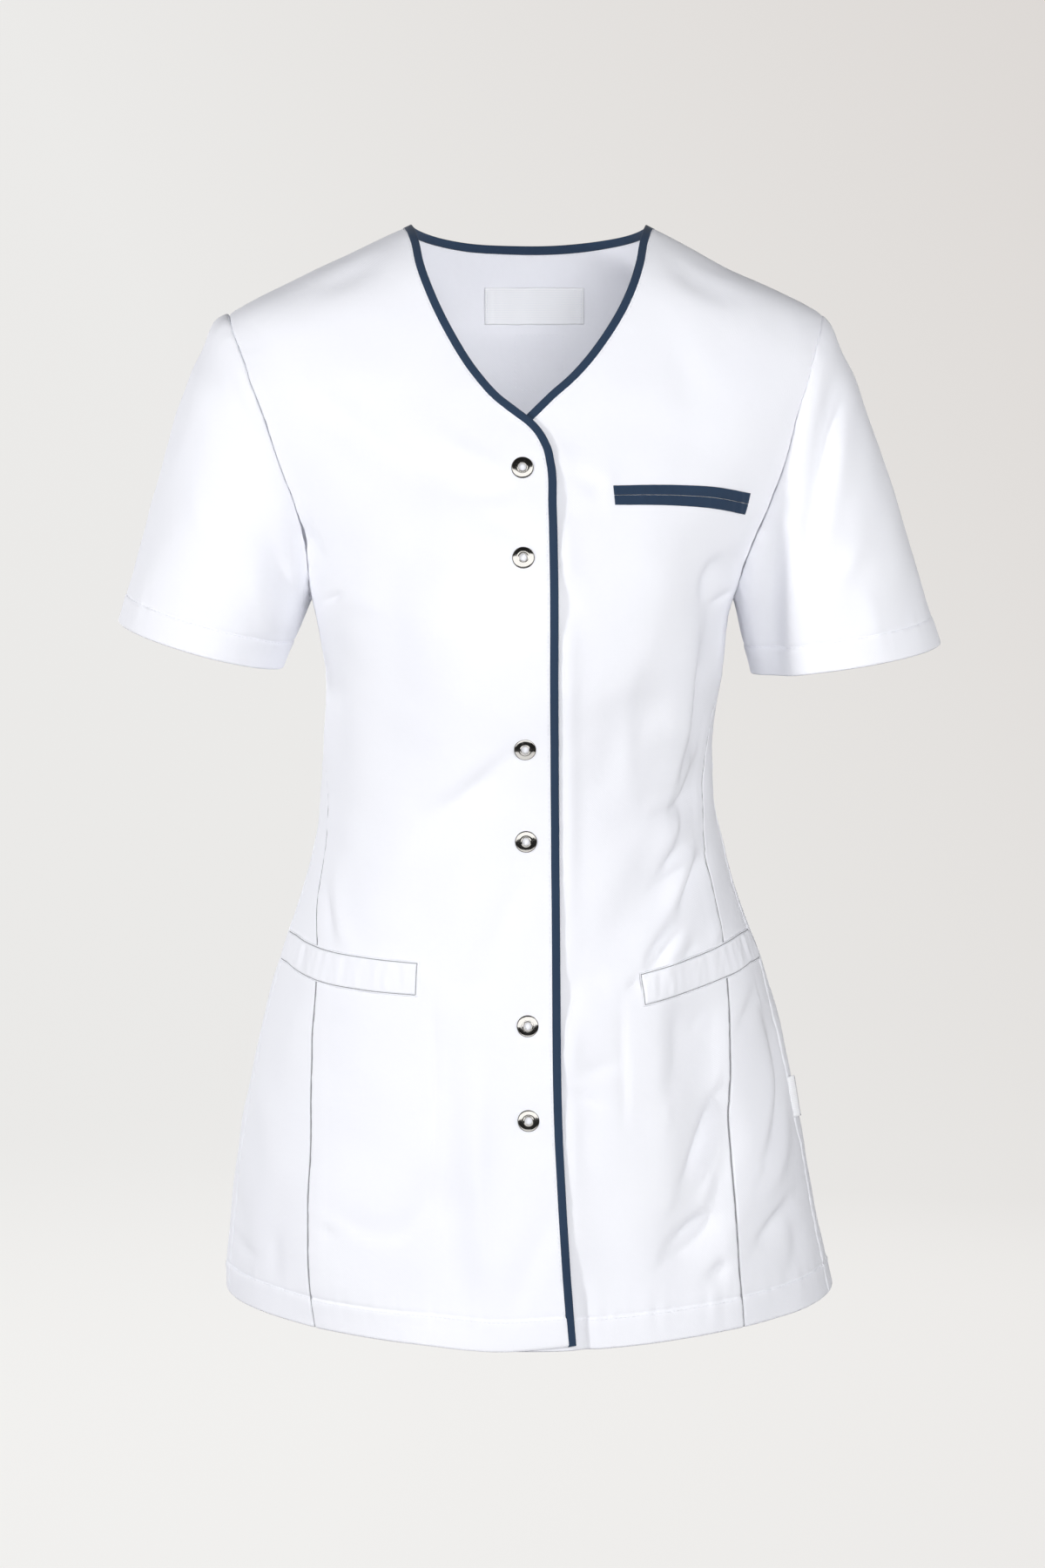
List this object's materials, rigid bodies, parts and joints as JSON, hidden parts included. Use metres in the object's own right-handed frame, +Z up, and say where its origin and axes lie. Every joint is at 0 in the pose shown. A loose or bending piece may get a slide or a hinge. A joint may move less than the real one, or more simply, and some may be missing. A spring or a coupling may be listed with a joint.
{
  "type": "beautician tunic",
  "caption": "Short-sleeved wrap-front work tunic in white cloth with a navy-edged V neck and front, ring snaps, a chest pocket and hip pockets with welts, in the hollow form it has when worn",
  "frame": {"origin": "midway between the two side neck points, where the wearer's shoulders carry the tunic", "axes": "+Z up along the wearer's back, -Y to the front, +X to the wearer's left"},
  "size_m": [0.5432, 0.2682, 0.7198],
  "materials": {
    "poplin": "white polyester-cotton poplin, matt",
    "edging": "navy poplin, matt",
    "snap_metal": "nickel-plated brass, polished",
    "label": "white woven satin, slight sheen"
  },
  "bodies": {
    "root": {"front_right": "poplin", "front_left": "poplin", "side_right": "poplin", "side_left": "poplin", "back": "poplin", "sleeve_right": "poplin", "sleeve_left": "poplin", "edging_right": "edging", "edging_left": "edging", "edging_back": "edging", "chest_jet_upper": "edging", "chest_jet_lower": "edging", "hip_welt_right": "poplin", "hip_welt_left": "poplin", "snap_cap_1": "snap_metal", "snap_cap_2": "snap_metal", "snap_cap_3": "snap_metal", "snap_cap_4": "snap_metal", "snap_cap_5": "snap_metal", "snap_cap_6": "snap_metal", "snap_post_1": "snap_metal", "snap_post_2": "snap_metal", "snap_post_3": "snap_metal", "snap_post_4": "snap_metal", "snap_post_5": "snap_metal", "snap_post_6": "snap_metal", "neck_label": "label", "side_tab": "label"}
  },
  "joints": []
}
